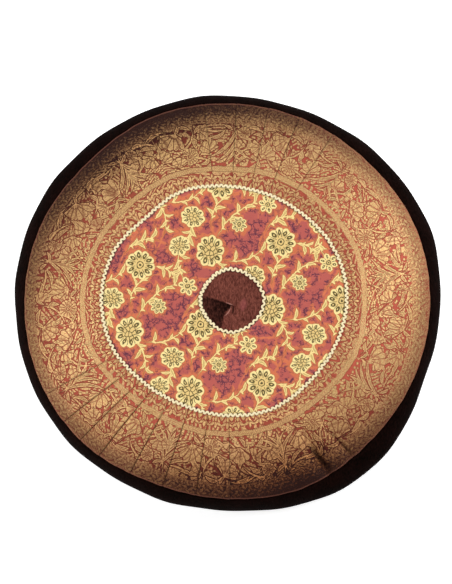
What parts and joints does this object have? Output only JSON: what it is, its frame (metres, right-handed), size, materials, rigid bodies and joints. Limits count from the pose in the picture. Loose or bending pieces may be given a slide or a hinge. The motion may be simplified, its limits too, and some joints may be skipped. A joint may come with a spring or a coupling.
{
  "type": "floor cushion",
  "caption": "Round filled floor cushion in dark velvet, its face sewn with a pleated brocade border, a printed disc, a velvet centre and ric-rac braid.",
  "frame": {"origin": "on the floor, under the middle of the cushion's bounding box, lying on its back", "axes": "+Z up out of the face; +X to the right and +Y up in the picture"},
  "size_m": [0.6036, 0.5926, 0.1289],
  "materials": {
    "dark_velvet": "cut pile, deep maroon to black",
    "brocade": "woven gold thread on a red ground, soft metallic sheen",
    "printed_cotton": "matte plain weave, printed",
    "brown_velvet": "cut pile, red brown",
    "cream_braid": "matte woven cotton braid"
  },
  "bodies": {
    "root": {"cushion_cover": "dark_velvet", "brocade_ring": "brocade", "printed_disc": "printed_cotton", "velvet_centre": "brown_velvet", "outer_ricrac": "cream_braid", "centre_ricrac": "cream_braid"}
  },
  "joints": []
}
